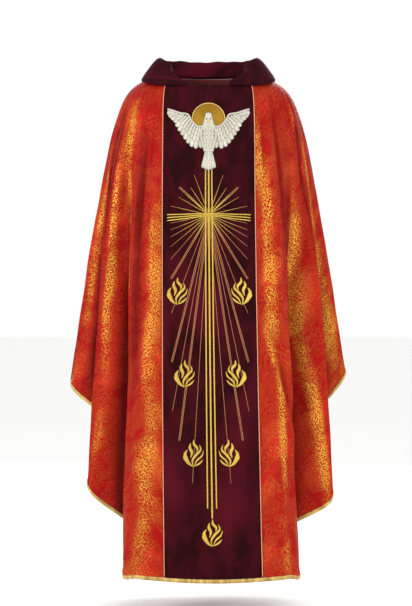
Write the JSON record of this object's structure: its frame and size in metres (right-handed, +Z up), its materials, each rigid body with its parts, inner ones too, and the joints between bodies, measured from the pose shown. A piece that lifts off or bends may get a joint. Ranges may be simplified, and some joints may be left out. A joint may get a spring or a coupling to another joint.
{
  "type": "chasuble",
  "caption": "Hanging Gothic church vestment: wide poncho of red and gold brocade with dark velvet panels, fold-over collar and gold embroidery of a dove, cross, rays and flames.",
  "frame": {"origin": "middle of the head opening, level with the top of the shoulders", "axes": "+Z up along the hanging garment, -Y out of its front, +X to the right of someone facing its front"},
  "size_m": [0.6916, 0.4418, 1.2974],
  "materials": {
    "brocade": "red silk brocade woven with a gold scroll pattern",
    "velvet": "dark wine cotton velvet",
    "satin": "red satin lining",
    "canvas": "plain woven interlining",
    "gold_binding": "gold satin binding",
    "gold_thread": "gold metal thread",
    "silver_thread": "silver metal thread"
  },
  "bodies": {
    "root": {"front_brocade_left": "brocade", "front_brocade_right": "brocade", "back_brocade_left": "brocade", "back_brocade_right": "brocade", "front_orphrey": "velvet", "back_orphrey": "velvet", "collar_top": "velvet", "collar_under": "velvet", "collar_interfacing": "canvas", "front_interlining": "canvas", "back_interlining": "canvas", "front_lining": "satin", "back_lining": "satin", "front_neck_facing": "satin", "back_neck_facing": "satin", "front_hem_binding": "gold_binding", "back_hem_binding": "gold_binding", "front_seam_cord_left": "gold_thread", "front_seam_cord_right": "gold_thread", "back_seam_cord_left": "gold_thread", "back_seam_cord_right": "gold_thread", "ray_fan": "gold_thread", "cross_upright_left": "gold_thread", "cross_upright_middle": "gold_thread", "cross_upright_right": "gold_thread", "cross_arm_upper": "gold_thread", "cross_arm_middle": "gold_thread", "cross_arm_lower": "gold_thread", "flame_upper_left": "gold_thread", "flame_upper_right": "gold_thread", "flame_middle_left": "gold_thread", "flame_middle_right": "gold_thread", "flame_lower_left": "gold_thread", "flame_lower_right": "gold_thread", "flame_bottom": "gold_thread", "halo_disc": "gold_thread", "halo_rim": "gold_thread", "dove_head": "silver_thread", "dove_body": "silver_thread", "dove_tail": "silver_thread", "dove_wing_left": "silver_thread", "dove_wing_right": "silver_thread"}
  },
  "joints": []
}
